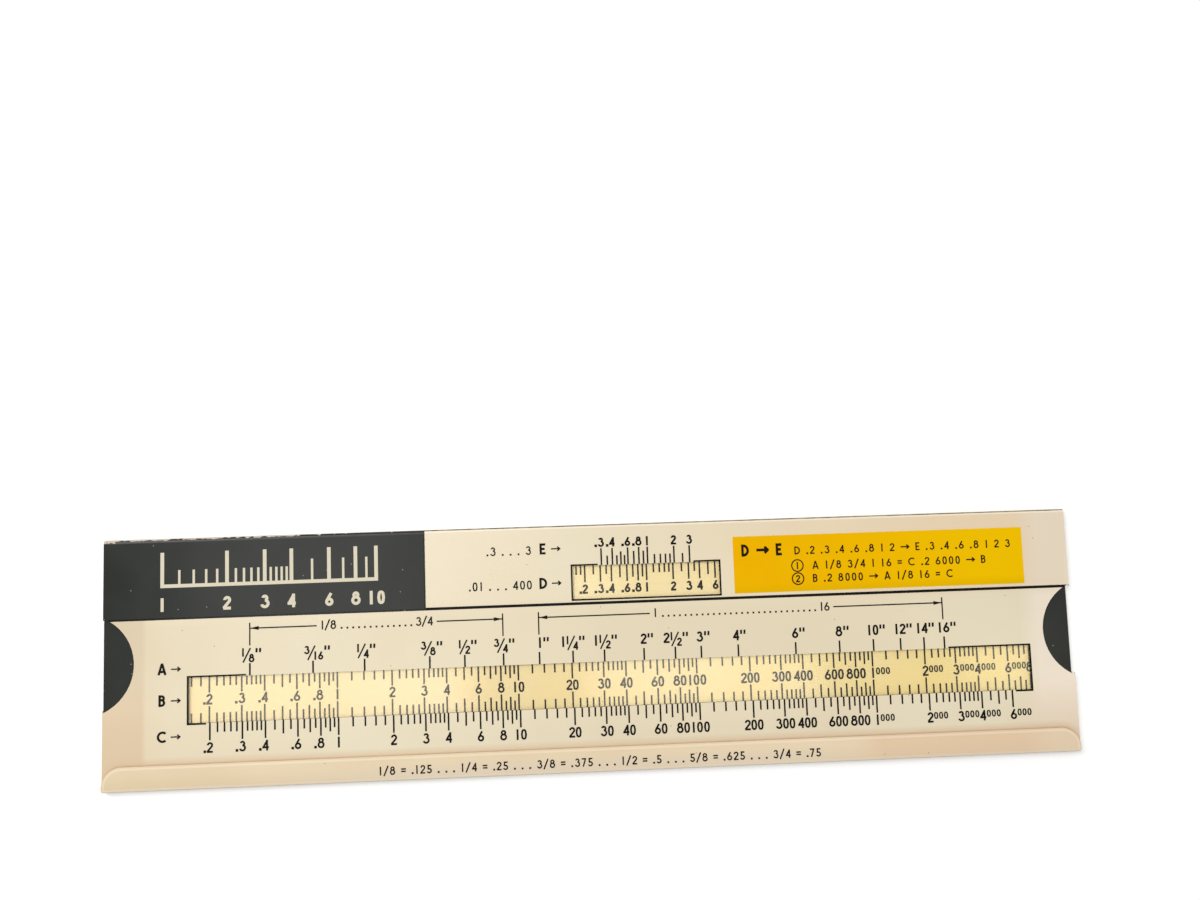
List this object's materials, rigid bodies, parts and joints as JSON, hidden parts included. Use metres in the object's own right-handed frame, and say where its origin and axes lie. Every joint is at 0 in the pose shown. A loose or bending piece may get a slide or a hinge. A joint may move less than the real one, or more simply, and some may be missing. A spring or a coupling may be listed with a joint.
{
  "type": "slide chart calculator",
  "caption": "Flat slide chart calculator: a folded vinyl sleeve with clear windows and fixed logarithmic scales, and a printed slide that is drawn through it to line the scales up.",
  "frame": {"origin": "under the middle of the sleeve, on the back face that it rests on", "axes": "+X along the scales to the right as they read, +Y up the printed face, +Z out of the printed face"},
  "size_m": [0.254, 0.064, 0.0023],
  "materials": {
    "ivory_vinyl": "aged ivory vinyl sheet, satin gloss",
    "window_vinyl": "clear vinyl, a little yellowed, glossy",
    "slide_vinyl": "pale yellow vinyl sheet, satin",
    "dark_ink": "charcoal printing ink, worn on the fold",
    "black_ink": "black printing ink",
    "yellow_ink": "yellow printing ink",
    "cement": "dried solvent cement"
  },
  "bodies": {
    "sleeve": {"front_panel": "ivory_vinyl", "back_panel": "ivory_vinyl", "top_fold": "ivory_vinyl", "bottom_fold": "ivory_vinyl", "seal_flap": "ivory_vinyl", "flap_cement": "cement", "main_window_pane": "window_vinyl", "upper_window_pane": "window_vinyl", "header_print": "dark_ink", "label_print": "yellow_ink", "divider_print": "black_ink", "window_outline_print": "black_ink", "bracket_print": "black_ink", "size_scale_print": "black_ink", "fixed_scale_print": "black_ink", "gravity_scale_print": "black_ink"},
    "slide": {"slide_card": "slide_vinyl", "slide_end_print": "dark_ink", "slide_flow_print": "black_ink", "slide_pressure_print": "black_ink"}
  },
  "joints": [
    {"name": "slide_travel", "type": "slide", "parent": "sleeve", "child": "slide", "axis": [1, 0, 0], "range_m": [-0.0702, 0.0468]}
  ]
}
